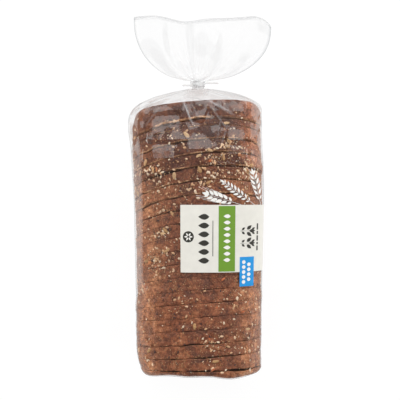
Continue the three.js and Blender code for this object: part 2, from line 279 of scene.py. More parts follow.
def paint_points(piece, name, colours):
    """A colour for each of a mesh's points, which its material reads by name."""
    layer = piece.data.color_attributes.new(name, "FLOAT_COLOR", "POINT")
    opaque = np.concatenate([colours, np.ones((len(colours), 1))], axis=1)
    layer.data.foreach_set("color", opaque.ravel())


def grid_faces(rows, columns, closed):
    """Quads of a grid of points in rows; a closed grid joins its last column to its first."""
    row, column = np.meshgrid(np.arange(rows - 1), np.arange(columns if closed else columns - 1),
                              indexing="ij")
    here = row * columns + column
    beside = row * columns + (column + 1) % columns
    faces = np.stack([here, beside, beside + columns, here + columns], axis=-1)
    return faces.reshape(-1, 4)


# Section and slices


SECTION_STEPS = 200
NORMAL_STEP = 0.4


def half_section():
    """Points from the middle of the crown down the right side to the base's middle."""
    half_width = WIDTH_AT_NECK / 2.0
    half_base = half_width * BASE_SHARE
    turn = np.linspace(math.pi / 2.0, 0.0, SECTION_STEPS)
    crown_x = half_width * np.maximum(np.cos(turn), 0.0) ** (2.0 / CROWN_POWER)
    rise = np.maximum(np.sin(turn), 0.0) ** (2.0 / CROWN_POWER)
    crown_z = WIDEST_HEIGHT + (LOAF_HEIGHT - WIDEST_HEIGHT) * rise
    share = np.linspace(0.0, 1.0, SECTION_STEPS)[1:]
    side_x = mix(half_width, half_base, 1.0 - np.cos(share * math.pi / 2.0))
    side_z = mix(WIDEST_HEIGHT, BASE_ROUND, share)
    corner = share * math.pi / 2.0
    corner_x = half_base - BASE_ROUND * (1.0 - np.cos(corner))
    corner_z = BASE_ROUND * (1.0 - np.sin(corner))
    x = np.concatenate([crown_x, side_x, corner_x, [0.0]])
    z = np.concatenate([crown_z, side_z, corner_z, [0.0]])
    travelled = np.concatenate([[0.0], np.cumsum(np.hypot(np.diff(x), np.diff(z)))])
    return x, z, travelled


SECTION_X, SECTION_Z, TRAVELLED = half_section()
HALF_ROUND = TRAVELLED[-1]


def section_point(around):
    """Sideways place and height at distances round the section, right side positive."""
    distance = np.minimum(np.abs(around), HALF_ROUND)
    side = np.where(np.asarray(around) < 0.0, -1.0, 1.0)
    return side * np.interp(distance, TRAVELLED, SECTION_X), np.interp(distance, TRAVELLED, SECTION_Z)


def section_normal(around):
    """The outward direction, sideways and up, at distances round the section."""
    around = np.asarray(around, dtype=float)
    x0, z0 = section_point(np.clip(around - NORMAL_STEP, -HALF_ROUND, HALF_ROUND))
    x1, z1 = section_point(np.clip(around + NORMAL_STEP, -HALF_ROUND, HALF_ROUND))
    length = np.hypot(x1 - x0, z1 - z0)
    return (z0 - z1) / length, (x1 - x0) / length


def push_out(points, around, off):
    """Move points outwards from the section by the given distances."""
    normal_x, normal_z = section_normal(around)
    points[..., 0] += normal_x * off
    points[..., 2] += normal_z * off


def around_at(x):
    """Distance round the crown of a sideways place."""
    crown = SECTION_Z >= WIDEST_HEIGHT
    return math.copysign(np.interp(abs(x), SECTION_X[crown], TRAVELLED[crown]), x)


def around_at_height(height):
    """Distance round the right side of a height below the widest line."""
    side = (SECTION_Z <= WIDEST_HEIGHT) & (TRAVELLED < HALF_ROUND - WIDTH_AT_NECK / 3.0)
    return float(np.interp(-height, -SECTION_Z[side], TRAVELLED[side]))


def loaf_middle(station):
    """Sideways place of the loaf's middle, which drifts left towards the neck."""
    return -1.0 - SIDE_DRIFT * smooth(10.0, 80.0, station)


def width_share(station):
    return mix(WIDTH_AT_FRONT, WIDTH_AT_NECK, smooth(FRONT_END, NECK_END, station)) / WIDTH_AT_NECK


def place(x, station, height):
    """A place on a slice, turned, leant and bowed as the slices stand."""
    share = smooth(FRONT_END, 20.0, station)
    heel = smooth(HEEL_START, NECK_END, station)
    yaw = YAW_AT_FRONT * smooth(FRONT_END, -140.0, station)
    yaw = yaw + (YAW_AT_NECK - YAW_AT_FRONT) * (smooth(-60.0, 40.0, station) - heel)
    lean = mix(mix(LEAN_AT_FRONT, LEAN_AT_NECK, share), HEEL_LEAN, heel)
    bow = mix(BOW_AT_NECK * share, HEEL_BOW, heel) * (x / (WIDTH_AT_NECK / 2.0)) ** 2
    fall = CROWN_FALL / LOAF_HEIGHT * smooth(FALL_START, NECK_END, station)
    taper = FRONT_LEFT_TAPER * smooth(FRONT_END + 30.0, FRONT_END, station)
    x = x * (1.0 - taper * smooth(0.0, -30.0, x))
    lowered = (LOAF_HEIGHT - height) * np.tan(np.radians(lean))
    uneven = FRONT_DRAWN_IN + FRONT_WAVE * (np.sin(x / 15.0 + 2.4) + 0.5 * np.sin(x / 6.3))
    drawn_in = uneven * smooth(FRONT_END + 11.0, FRONT_END, station)
    along = station + x * np.tan(np.radians(yaw)) - lowered - bow + drawn_in
    return np.stack(np.broadcast_arrays(loaf_middle(station) + x, along, height * (1.0 - fall)), axis=-1)


CORRECTIONS = 12


def station_at(x, along, height):
    """The station whose slice passes through a place, found by repeated correction."""
    station = np.broadcast_to(np.asarray(along, dtype=float), np.shape(x)).copy()
    for _ in range(CORRECTIONS):
        station += along - place(x, station, height)[..., 1]
    return station


# Materials

WHITE_LIGHT = (1.0, 1.0, 1.0)
BLACK = (0.0, 0.0, 0.0)


class Look:
    """A material in the making: its nodes, and the place on the piece in millimetres."""

    def __init__(self, name):
        self.material = bpy.data.materials.new(name)
        self.material.use_nodes = True
        self.nodes = self.material.node_tree.nodes
        self.nodes.clear()
        scale = self.nodes.new("ShaderNodeVectorMath")
        scale.operation = "SCALE"
        self.feed(scale.inputs["Scale"], 1.0 / MM)
        self.feed(scale.inputs[0], self.nodes.new("ShaderNodeTexCoord").outputs["Object"])
        self.where = scale.outputs[0]

    def feed(self, socket, value):
        """Link a socket to another node's output, or give it a value."""
        if isinstance(value, bpy.types.NodeSocket):
            self.material.node_tree.links.new(value, socket)
        else:
            socket.default_value = value

    def node(self, kind, **inputs):
        """A node with some of its inputs fed; a name's underscores stand for spaces."""
        node = self.nodes.new(kind)
        for name, value in inputs.items():
            self.feed(node.inputs[name.replace("_", " ")], value)
        return node

    def noise(self, size, detail=3.0, roughness=0.55):
        """Soft noise with features of the given size."""
        return self.node("ShaderNodeTexNoise", Vector=self.where, Scale=1.0 / size, Detail=detail,
                         Roughness=roughness).outputs["Fac"]

    def cells(self, size):
        """Distance to the middle of the nearest random cell, where cells have the given size."""
        return self.node("ShaderNodeTexVoronoi", Vector=self.where, Scale=1.0 / size,
                         Randomness=1.0).outputs["Distance"]

    def painted(self, layer):
        """The colours that paint_points gave the mesh."""
        node = self.nodes.new("ShaderNodeVertexColor")
        node.layer_name = layer
        return node.outputs["Color"]

    def math(self, operation, first, second):
        node = self.nodes.new("ShaderNodeMath")
        node.operation = operation
        self.feed(node.inputs[0], first)
        self.feed(node.inputs[1], second)
        return node.outputs[0]

    def times(self, first, second):
        return self.math("MULTIPLY", first, second)

    def between(self, value, low, high):
        """A number that goes from low to high as the value goes from 0 to 1."""
        return self.node("ShaderNodeMapRange", Value=value, To_Min=low, To_Max=high).outputs["Result"]

    def step(self, value, start, end, low=0.0, high=1.0):
        """A number that goes smoothly from low to high as the value goes from start to end."""
        node = self.node("ShaderNodeMapRange", Value=value, From_Min=start, From_Max=end,
                         To_Min=low, To_Max=high)
        node.interpolation_type = "SMOOTHSTEP"
        return node.outputs["Result"]

    def along(self, axis, start, end):
        """How far a place has come between two values of one of its coordinates, 0 to 1."""
        split = self.node("ShaderNodeSeparateXYZ", Vector=self.where)
        return self.step(split.outputs[axis], start, end)

    def mixed(self, share, first, second):
        """A number between two others."""
        node = self.nodes.new("ShaderNodeMix")
        for socket, value in ((0, share), (2, first), (3, second)):
            self.feed(node.inputs[socket], value)
        return node.outputs[0]

    def blend(self, share, first, second, kind="MIX"):
        """A colour between two others, or their product."""
        node = self.nodes.new("ShaderNodeMix")
        node.data_type = "RGBA"
        node.blend_type = kind
        for socket, value in ((0, share), (6, first), (7, second)):
            self.feed(node.inputs[socket], (*value, 1.0) if isinstance(value, tuple) else value)
        return node.outputs[2]

    def ramp(self, value, *stops):
        """A colour that follows a value: stops are pairs of a value and its colour."""
        node = self.node("ShaderNodeValToRGB", Fac=value)
        elements = node.color_ramp.elements
        while len(elements) < len(stops):
            elements.new(0.5)
        for element, (position, colour) in zip(elements, stops):
            element.position = position
            element.color = (*colour, 1.0)
        return node.outputs["Color"]

    def tinted(self, colour, value, *stops):
        """A colour times one that follows a value."""
        return self.blend(1.0, colour, self.ramp(value, *stops), "MULTIPLY")

    def bump(self, height, distance, strength, below=None):
        """Fine relief of the given depth, laid over other relief where there is any."""
        node = self.node("ShaderNodeBump", Height=height, Distance=distance * MM, Strength=strength)
        if below is not None:
            self.feed(node.inputs["Normal"], below)
        return node.outputs["Normal"]

    def shader(self, kind, **inputs):
        return self.node("ShaderNodeBsdf" + kind, **inputs).outputs[0]

    def mixed_shader(self, share, first, second):
        node = self.node("ShaderNodeMixShader", Fac=share)
        self.feed(node.inputs[1], first)
        self.feed(node.inputs[2], second)
        return node.outputs[0]

    def finish(self, shader):
        self.node("ShaderNodeOutputMaterial", Surface=shader)
        return self.material

    def solid(self, **inputs):
        """The finished material, opaque and with one plain shader."""
        return self.finish(self.shader("Principled", **inputs))


def crust_material():
    """Baked brown crust: dark on top and paler down its sides, mottled, with flecks of bran, and painted
    light keeping its right side near the neck pale and pinkish.
    """
    look = Look("crust")
    middle = look.noise(3.4, 4.0, 0.65)
    fine = look.noise(0.9, 2.0, 0.6)
    colour = look.ramp(look.noise(12.0, 5.0, 0.6), (0.36, (0.165, 0.054, 0.027)),
                       (0.50, (0.256, 0.076, 0.030)), (0.64, (0.375, 0.131, 0.054)))
    colour = look.tinted(colour, middle, (0.34, (0.56, 0.53, 0.50)), (0.50, WHITE_LIGHT),
                         (0.66, (1.36, 1.48, 1.58)))
    colour = look.tinted(colour, fine, (0.35, (0.70, 0.68, 0.68)), (0.65, (1.25, 1.25, 1.25)))
    down_side = look.along("Z", 105.0, 90.0)
    colour = look.tinted(colour, down_side, (0.0, WHITE_LIGHT), (1.0, (1.80, 2.30, 2.55)))
    to_neck = look.along("Y", -10.0, 50.0)
    colour = look.tinted(colour, to_neck, (0.0, WHITE_LIGHT), (1.0, (0.41, 0.31, 0.26)))
    # Painted light: near the neck the right side is lifted back to a pale pinkish brown, standing in for
    # light falling on it there.
    painted_light_right_at_neck = look.times(to_neck, look.along("X", 34.0, 48.0))
    colour = look.tinted(colour, painted_light_right_at_neck, (0.0, WHITE_LIGHT), (1.0, (2.45, 3.10, 4.20)))
    colour = look.tinted(colour, look.noise(6.5), (0.482, WHITE_LIGHT), (0.50, (0.55, 0.50, 0.50)),
                         (0.518, WHITE_LIGHT))
    even = look.ramp(middle, (0.34, (0.195, 0.076, 0.040)), (0.66, (0.40, 0.174, 0.095)))
    colour = look.blend(look.times(look.along("Z", 90.0, 70.0), EVEN_SIDE_SHARE), colour, even)
    fleck = look.ramp(look.cells(2.1), (0.10, WHITE_LIGHT), (0.19, BLACK))
    colour = look.blend(fleck, colour, (0.46, 0.24, 0.12))
    normal = look.bump(fine, 0.3, 0.8, look.bump(middle, 0.9, 0.8))
    return look.solid(Base_Color=colour, Roughness=0.62, Normal=normal)


def crumb_material(name, size, low, middle, high):
    """Crumb, with round pores painted darker as shade in them, and darker grain; size is that of its
    light and dark stretches.
    """
    look = Look(name)
    pores = look.cells(1.8)
    colour = look.ramp(look.noise(size, 4.0), (0.38, low), (0.50, middle), (0.62, high))
    # Painted shade: each pore is darkened towards its middle, as shade falls in it.
    colour = look.tinted(colour, pores, (0.16, (0.45, 0.38, 0.34)), (0.34, WHITE_LIGHT))
    return look.solid(Base_Color=colour, Roughness=0.8, Normal=look.bump(pores, 0.6, 0.8))


def seed_material(name, roughness):
    """Seeds take their colour from the mesh's own colour attribute, with a little grain over it."""
    look = Look(name)
    grain = look.noise(0.7, 2.0)
    colour = look.tinted(look.painted("tone"), grain, (0.3, (0.80, 0.78, 0.75)),
                         (0.7, (1.12, 1.12, 1.12)))
    return look.solid(Base_Color=colour, Roughness=roughness, Normal=look.bump(grain, 0.15, 0.5))


def tightness(look):
    """Where the film clings to the top crust, 1, and where it stands loose or covers a side, 0."""
    left = look.along("Y", -78.0, -98.0)
    right = look.along("Y", 44.0, 24.0)
    both = look.mixed(look.along("X", -12.0, 12.0), left, right)
    return look.times(both, look.along("Z", 62.0, 80.0))


def gloss_patches(look):
    """Bright and dull patches of gloss on the film near the neck, and 1 elsewhere."""
    patches = look.step(look.noise(13.0, 2.0, 0.45), 0.45, 0.52, DULL_PATCH, BRIGHT_PATCH)
    near_neck = look.times(look.along("Y", 30.0, 46.0), look.along("Y", 98.0, 91.0))
    return look.mixed(near_neck, 1.0, patches)


def film_material():
    """Clear film: mostly transparent, glossier and greyer at a slant, with a trace of haze; painted white
    where painted highlights and the neck's milk lie, and painted shade at folded edges.
    """
    look = Look("film")
    tight = tightness(look)
    normal = look.bump(look.noise(14.0, 1.0, 0.4), 1.0, 0.2)
    normal = look.bump(look.times(look.noise(3.0, 2.0, 0.5), tight), 0.8, 0.6, normal)
    slant = look.node("ShaderNodeLayerWeight", Blend=0.5, Normal=normal).outputs["Facing"]
    painted = look.node("ShaderNodeSeparateColor", Color=look.painted("creased"))
    # Painted white from the red of 'creased': painted highlight on creases and streaks, and milk at the
    # neck; it adds haze, whitens the tint and dulls the gloss.
    milk_and_painted_highlights = look.times(painted.outputs["Red"], MILK_AND_HIGHLIGHT_HAZE)
    in_mouth = look.along("Y", 92.0, 112.0)
    mirrored = look.between(look.math("POWER", slant, 2.5), FILM_SHINE, FILM_EDGE_SHINE)
    mirrored = look.times(mirrored, look.between(tight, 1.0, TIGHT_SHINE))
    mirrored = look.times(mirrored, gloss_patches(look))
    mirrored = look.times(mirrored, look.math("SUBTRACT", 1.0, milk_and_painted_highlights))
    mirrored = look.times(mirrored, look.between(in_mouth, 1.0, MOUTH_SHINE))
    tint = look.ramp(look.math("POWER", slant, 1.5), *FILM_TINTS)
    tint = look.blend(milk_and_painted_highlights, tint, MILK_AND_HIGHLIGHT_TINT)
    # Painted shade from the green of 'creased': the tint turns grey at folded edges and along the fan's
    # rim.
    tint = look.blend(painted.outputs["Green"], tint, EDGE_SHADE_TINT)
    haze = look.math("ADD", look.between(in_mouth, FILM_HAZE, MOUTH_HAZE), milk_and_painted_highlights)
    clear = look.shader("Transparent", Color=tint)
    milk = look.shader("Diffuse", Color=(0.95, 0.955, 0.96, 1.0))
    gloss = look.shader("Anisotropic", Color=(0.98, 0.965, 0.95, 1.0), Roughness=0.04, Normal=normal)
    return look.finish(look.mixed_shader(mirrored, look.mixed_shader(haze, clear, milk), gloss))


def print_material(name, colour):
    """Ink under gloss film: an even colour with a faint unevenness."""
    look = Look(name)
    tone = look.noise(7.0)
    low = tuple(channel * (1.0 - INK_UNEVENNESS) for channel in colour)
    high = tuple(min(1.0, channel * (1.0 + INK_UNEVENNESS)) for channel in colour)
    return look.solid(Base_Color=look.ramp(tone, (0.3, low), (0.7, high)), Roughness=0.38,
                      Specular_IOR_Level=0.25, Normal=look.bump(tone, 0.5, 0.2))


def tie_material():
    """Whitish translucent plastic."""
    look = Look("tie")
    tone = look.noise(2.5, 2.0)
    shade = look.ramp(tone, (0.3, (0.92, 0.93, 0.93)), (0.7, (0.97, 0.98, 0.98)))
    body = look.shader("Principled", Base_Color=shade, Roughness=0.3, Normal=look.bump(tone, 0.3, 0.4))
    clear = look.shader("Transparent", Color=(0.96, 0.96, 0.96, 1.0))
    return look.finish(look.mixed_shader(TIE_BODY_SHARE, clear, body))


def floor_material():
    """An evenly lit white table: a pale surface that glows, so that shadows on it stay faint."""
    look = Look("floor")
    shade = look.ramp(look.noise(60.0, 2.0), (0.3, (0.95 * FLOOR_PALENESS,) * 3),
                      (0.7, (1.05 * FLOOR_PALENESS,) * 3))
    return look.solid(Base_Color=shade, Roughness=0.9, Emission_Color=(1.0, 1.0, 1.0, 1.0),
                      Emission_Strength=FLOOR_GLOW, Specular_IOR_Level=0.1)


CRUST = crust_material()
CRUMB = crumb_material("crumb", 4.0, (0.22, 0.09, 0.040), (0.30, 0.135, 0.060), (0.40, 0.20, 0.095))
TORN = crumb_material("torn_crust", 13.0, (0.16, 0.055, 0.026), (0.34, 0.15, 0.066), (0.90, 0.52, 0.28))
FILM = film_material()
CREAM = print_material("cream_print", (0.785, 0.765, 0.70))
GREEN = print_material("green_print", (0.165, 0.32, 0.038))
BLUE = print_material("blue_print", (0.016, 0.30, 0.72))
DARK = print_material("dark_print", (0.045, 0.043, 0.036))
WHITE = print_material("white_print", (0.88, 0.86, 0.82))


# Bread

AROUND_STEPS = 520
LEAST_SHARE = 0.004
BAND_SHARES = (0.0, 0.025, 0.06, 0.1, 0.16, 0.24, 0.32, 0.4, 0.48, 0.56,
               0.64, 0.72, 0.8, 0.87, 0.92, 0.96, 0.985, 1.0)
TORN_ROWS = 3
FACE_RINGS = (0.0, 0.3, 0.6, 0.85, 0.96)


def cut_stations():
    """Stations of the cuts, from the front end of the loaf to its end at the neck."""
    cuts = [FRONT_END + FRONT_HEEL + i * SLICE_PITCH for i in range(SLICE_COUNT + 1)]
    cuts.append(cuts[-1] + SECOND_SLICE)
    return [FRONT_END + FILM_GAP, *cuts, NECK_END]


CUTS = cut_stations()


def cling(x, y):
    """Where the film clings to the crust, 1, and where it stands loose, 0; never at the label."""
    left = smooth(-74.0, -94.0, y)
    right = smooth(48.0, 28.0, y)
    at_label = smooth(LABEL_LEFT - 12.0, LABEL_LEFT - 4.0, x)
    at_label = at_label * smooth(LABEL_FRONT - 26.0, LABEL_FRONT - 16.0, y)
    at_label = at_label * smooth(LABEL_BACK + 42.0, LABEL_BACK + 34.0, y)
    return mix(left, right, smooth(-12.0, 12.0, x)) * (1.0 - at_label)


def lumps_at(points):
    """The crust's larger lumps, which the film follows where it clings."""
    return 0.7 * noise_at(points, 14.0, 1.0) + 0.65 * noise_at(points, 4.6, 2.0)


def crust_relief(points):
    """Height of the crust over its smooth form, in millimetres."""
    grain = 0.34 * noise_at(points, 1.8, 3.0)
    cracks = -0.9 * smooth(0.10, 0.0, np.abs(noise_at(points, 7.0, 4.0)))
    fine_cracks = -0.45 * smooth(0.12, 0.0, np.abs(noise_at(points, 3.0, 5.0)))
    return lumps_at(points) + grain + cracks + fine_cracks


def cut_line(around, cut):
    """How far a cut's edge wanders along Y, and its opening on top, round the section."""
    places = np.stack([around, np.full_like(around, 40.0 * cut), np.zeros_like(around)], axis=-1)
    wander = 0.7 * noise_at(places, 11.0, 7.0) + 0.4 * noise_at(places, 3.0, 8.0)
    opening = OPEN_CUTS.get(cut, CUT_OPENING)
    opening = opening * np.clip(0.75 + 1.3 * noise_at(places, 17.0, 9.0), 0.1, 2.0)
    return wander, opening


def end_shrink(station, end, round_size):
    """How far a rounded end has drawn in at a station near it."""
    reach = np.clip(1.0 - np.abs(end - station) / round_size, 0.0, 1.0)
    return round_size * (1.0 - np.sqrt(1.0 - reach * reach))


def bread_ring(around, station, stand):
    """A ring of the bread's surface before relief: inside the film, rounded at the loaf's ends."""
    rise, to_right = stand
    x, z = section_point(around)
    normal_x, normal_z = section_normal(around)
    aside = end_shrink(station, NECK_END, HEEL_ROUND_ASIDE) + end_shrink(station, FRONT_END, END_ROUND)
    up = end_shrink(station, NECK_END, HEEL_ROUND_UP) + end_shrink(station, FRONT_END, END_ROUND)
    gap = mix(FILM_GAP, CLING_GAP, cling(x, station))
    x = x * width_share(station) - normal_x * gap
    z = z - normal_z * gap
    middle = LOAF_HEIGHT / 2.0
    x = x * (1.0 - aside / (WIDTH_AT_NECK / 2.0)) + to_right * z / LOAF_HEIGHT
    z = middle + (z - middle) * (1.0 - up / middle)
    z = z * (1.0 + rise / LOAF_HEIGHT)
    return x, np.maximum(z, 0.4)


def slice_stands():
    """How each slice stands apart from its neighbours: up and aside, more so near the neck."""
    random = np.random.default_rng(5)
    stands = []
    for index in range(SLICE_COUNT + 3):
        loose = mix(0.35, 1.0, smooth(-20.0, 45.0, CUTS[index]))
        stands.append((random.uniform(-1.6, 0.2) * loose, random.uniform(-0.9, 0.9) * loose))
    return stands


STANDS = slice_stands()


def make_slice(index):
    """One slice: a crust band between two cut faces; the two heels have crust on their outer face."""
    first, last = index == 0, index == len(CUTS) - 2
    torn = index >= FIRST_TORN_SLICE and not first
    start, end = CUTS[index], CUTS[index + 1]
    edge_round = SOFT_EDGE_ROUND if torn or index < SOFT_FRONT_SLICES else EDGE_ROUND
    around = np.linspace(-HALF_ROUND, HALF_ROUND, AROUND_STEPS, endpoint=False)
    front_wander, front_opening = cut_line(around, index)
    back_wander, back_opening = cut_line(around, index + 1)
    rings = []
    for share in BAND_SHARES:
        x, z = bread_ring(around, mix(start, end, share), STANDS[index])
        high = (z / LOAF_HEIGHT) ** 2
        front = 0.0 if first else (front_opening / 2.0 * high + front_wander)
        back = 0.0 if last else (back_wander - back_opening / 2.0 * high)
        station = mix(start, end, share) + front * (1.0 - share) ** 3 + back * share ** 3
        points = place(x, station, z)
        relief = crust_relief(points) * smooth(0.0, 6.0, z)
        from_front = share * (end - start)
        from_back = (1.0 - share) * (end - start)
        soften = edge_round * (1.0 - smooth(0.0, 0.9, from_back))
        if not first:
            soften += (TORN_EDGE_ROUND if torn else edge_round) * (1.0 - smooth(0.0, 1.1, from_front))
        push_out(points, around, relief - soften)
        rings.append(points)
    rings = face_rings(rings[0], first, -1.0) + rings + face_rings(rings[-1], last, 1.0)[::-1]
    points = np.concatenate(rings)
    faces = grid_faces(len(rings), AROUND_STEPS, True)
    row = np.arange(len(faces)) // AROUND_STEPS
    count = len(FACE_RINGS)
    front_face = row < count + (TORN_ROWS if torn else 0)
    back_face = row >= len(rings) - 1 - count
    kind = np.zeros(len(faces), dtype=int)
    if not first:
        kind[front_face] = 2
        kind[row < count] = 1
    if not last:
        kind[back_face] = 1
    add_piece(f"slice_{index + 1:02d}", points, faces, [CRUST, CRUMB, TORN], kind)


def face_rings(edge, outer, direction):
    """Rings from the middle of a slice's face out to its edge; a heel's outer face bulges."""
    middle = edge.mean(axis=0)
    rings = []
    for share in FACE_RINGS:
        ring = middle + (edge - middle) * max(share, LEAST_SHARE)
        ripple = noise_at(ring, 5.0, 6.0) * (0.5 if outer else 0.25) * (1.0 - share)
        ring[:, 1] += direction * ((2.5 if outer else 0.0) * (1.0 - share ** 2) + ripple)
        rings.append(ring)
    return rings


def make_slices():
    for index in range(len(CUTS) - 1):
        make_slice(index)


# Film


# Flat facets of the film near the neck, each tipped towards the neck: sideways places of the
# front edge's ends, of the neck edge's ends, and where the two edges lie along Y
FACETS = (
    ((-45.0, -9.5), (-42.0, -8.5), 55.5, 72.5),
    ((-7.5, 6.5), (-7.0, 6.0), 46.0, 70.5),
    ((8.5, 26.0), (8.5, 16.0), 46.5, 72.0),
    ((29.5, 42.0), (29.0, 40.5), 55.0, 81.0),
    ((-13.5, 6.0), (-12.0, 12.0), 76.0, 92.0),
    ((-43.0, -14.0), (-41.0, -11.0), 83.0, 92.0),
    ((14.0, 44.0), (10.0, 47.0), 82.5, 92.5),
    ((-50.0, -24.0), (-49.0, -25.0), 38.0, 52.0),
    ((27.0, 44.0), (29.0, 44.0), 42.0, 53.0),
)
FACET_SLOPE = 0.12
FACET_RISE = 3.2
FACET_FLANK = 2.4

# How far the film stands off the loaf's left side near the neck
LEFT_SLACK = 2.4

# Single creases: both ends, how high they stand, how wide they are and how much painted highlight lies
# along them
CREASES = (
    ((-12.0, 92.0), (-3.0, 69.0), 1.4, 1.1, 1.0),
    ((-6.0, 93.0), (3.0, 74.0), 0.8, 0.8, 0.4),
    ((10.0, 93.5), (33.0, 80.0), 1.8, 1.2, 1.0),
    ((17.0, 91.0), (36.0, 79.0), 0.9, 0.8, 0.6),
    ((14.0, 86.0), (28.0, 66.0), 1.2, 0.9, 0.45),
    ((28.0, 66.0), (22.0, 50.0), 0.9, 0.9, 0.35),
    ((24.0, 80.0), (19.0, 56.0), 0.7, 0.8, 0.25),
    ((-30.0, 92.0), (-47.0, 70.0), 0.9, 1.0, 0.3),
    ((-9.0, 66.0), (-7.5, 48.0), 0.6, 0.8, 0.15),
)

# Long folds down both sides: sideways place, both ends along Y, height and width
SIDE_FOLDS = (
    (-52.8, -76.0, 72.0, 1.1, 3.2),
    (43.0, 44.0, 84.0, 0.7, 3.4),
)


def facet_height(x, y, front, neck, start, end):
    """A facet's height: up over a short rise in front, then down all the way to its neck edge."""
    along = np.clip((y - start) / (end - start), 0.0, 1.0)
    left = mix(front[0], neck[0], along)
    right = mix(front[1], neck[1], along)
    inside = smooth(left - FACET_FLANK, left, x) * smooth(right + FACET_FLANK, right, x)
    rise = np.clip((y - start + FACET_RISE) / FACET_RISE, 0.0, 1.0)
    return FACET_SLOPE * (end - start) * rise * (1.0 - along) * inside


def crease_height(x, y, start, end, height, width):
    along = np.array(end) - np.array(start)
    length = np.linalg.norm(along)
    along = along / length
    share = np.clip(((x - start[0]) * along[0] + (y - start[1]) * along[1]) / length, 0.0, 1.0)
    away = np.hypot(x - start[0] - share * length * along[0], y - start[1] - share * length * along[1])
    fade = np.sin(math.pi * np.clip(0.08 + 0.84 * share, 0.0, 1.0)) ** 0.5
    return height * fade * np.exp(-((away / width) ** 2))


def film_shift(points):
    """How far the film stands off its smooth form, in millimetres: facets, creases, long folds."""
    x, y, z = points[..., 0], points[..., 1], points[..., 2]
    x = x - loaf_middle(y)
    top = smooth(58.0, 82.0, z)
    off = np.zeros_like(x)
    for facet in FACETS:
        off += facet_height(x, y, *facet)
    for start, end, height, width, _ in CREASES:
        off += crease_height(x, y, start, end, height, width)
    for middle, low, high, height, width in SIDE_FOLDS:
        length = smooth(low - 10.0, low + 6.0, y) * smooth(high + 10.0, high - 6.0, y)
        off += height * length * np.exp(-(((x - middle) / width) ** 2))
    loose = smooth(46.0, 70.0, y) * smooth(-38.0, -56.0, x) * smooth(20.0, 50.0, z)
    ripples = 0.20 * np.sin(x / 7.5 + 0.02 * y) + 0.12 * np.sin(x / 3.4 - 0.03 * y + 1.0)
    return top * (off + ripples * smooth(-170.0, -150.0, y)) + LEFT_SLACK * loose


def crease_highlight(points):
    """How much painted highlight lies along the film's creases at its points, 0 to 1."""
    x, y = points[:, 0] - loaf_middle(points[:, 1]), points[:, 1]
    white = np.zeros(len(points))
    # Painted highlight: the film is painted white along each crease.
    for start, end, _, width, whiteness in CREASES:
        white = np.maximum(white, crease_height(x, y, start, end, whiteness, width * 0.8))
    return white * smooth(70.0, 85.0, points[:, 2])


def neck_milk_and_painted_streaks(points):
    """How white the film looks: milky where it is gathered at the neck, and painted highlight in faint
    streaks over the pleats beyond it.
    """
    x, y = points[:, 0] - NECK_X, points[:, 1] - NECK_Y
    at_neck = np.exp(-((y / 8.0) ** 2)) * np.exp(-((x / 11.0) ** 2))
    # Painted highlight: faint white streaks fanning out over the pleats beyond the neck.
    turn = np.arctan2(x, y + 4.0)
    streaks = smooth(0.2, 1.0, np.sin(26.0 * turn + 3.0 * np.sin(4.0 * turn) + 0.03 * x))
    reach = smooth(60.0, 5.0, y) * smooth(-2.0, 8.0, y)
    return np.clip(2.4 * at_neck + 0.18 * streaks * reach, 0.0, 2.2)


def film_point(around, station, lift=0.0):
    """The film over the loaf, creased, at distances round the section."""
    x, z = section_point(around)
    points = place(x * width_share(station), station, z)
    clinging = cling(x, points[..., 1]) * smooth(0.0, 6.0, z)
    push_out(points, around, film_shift(points) + clinging * lumps_at(points) + lift)
    return points


FRONT_SHARES = (LEAST_SHARE, 0.1, 0.2, 0.3, 0.4, 0.5, 0.6, 0.7, 0.78, 0.85)
MIDDLE_STEPS = 64


def film_front_rings(around):
    """The film over the loaf's front end: rounded edges and a nearly flat end."""
    rings = []
    x, z = section_point(around)
    middle = LOAF_HEIGHT / 2.0
    for share in FRONT_SHARES:
        flat = (1.0 - END_ROUND / middle) * share / FRONT_SHARES[-1]
        points = place(x * width_share(FRONT_END) * flat, FRONT_END, middle + (z - middle) * flat)
        points[:, 1] -= 1.2 * (1.0 - share) + 0.4 * noise_at(points, 24.0, 11.0) * share
        rings.append(points)
    for share in np.linspace(0.12, 1.0, 8):
        shrink = END_ROUND * (1.0 - math.sin(share * math.pi / 2.0))
        station = FRONT_END + END_ROUND * (1.0 - math.cos(share * math.pi / 2.0))
        points = place(x * width_share(station) * (1.0 - shrink / (WIDTH_AT_NECK / 2.0)),
                       station, middle + (z - middle) * (1.0 - shrink / middle))
        rings.append(points)
    return rings


def shoulder_ring(around, travel):
    """A ring of the film between the last slice, travel 0, and the neck, travel 1."""
    start = film_point(around, SHOULDER_START)
    even = np.linspace(-HALF_ROUND, HALF_ROUND, MIDDLE_STEPS, endpoint=False)
    even_x, even_z = section_point(even)
    middle = place(even_x * width_share(SHOULDER_START), SHOULDER_START, even_z).mean(axis=0)
    neck = np.array([NECK_X, NECK_Y - NECK_LENGTH / 2.0, NECK_HEIGHT])
    out = start - middle
    turn = np.arctan2(out[:, 2], out[:, 0])
    pleat = 1.0 + 0.075 * smooth(0.2, 1.0, travel) * np.cos(9.0 * turn)
    pleat += 0.012 * smooth(0.0, 0.7, travel) * np.cos(17.0 * turn + 1.0)
    narrow = 1.0 - travel ** SHOULDER_ROUND
    low = (1.0 - travel ** SHOULDER_HOLD) ** SHOULDER_DROP
    folds = 0.5 - 0.5 * np.cos(NECK_FOLDS * turn + 0.8 * np.sin(3.0 * turn))
    folded = 1.0 - FOLD_DEPTH * smooth(0.86, 1.0, travel) * folds
    radius = NECK_RADIUS * smooth(0.0, 1.0, travel) * pleat * folded
    centre = mix(middle, neck, travel)
    centre[2] = mix(middle[2], neck[2], travel ** 2)
    return np.stack([
        centre[0] + out[:, 0] * narrow * pleat + np.cos(turn) * radius,
        centre[1] + out[:, 1] * (1.0 - travel),
        centre[2] + out[:, 2] * low * (2.0 - pleat) + np.sin(turn) * radius,
    ], axis=-1)


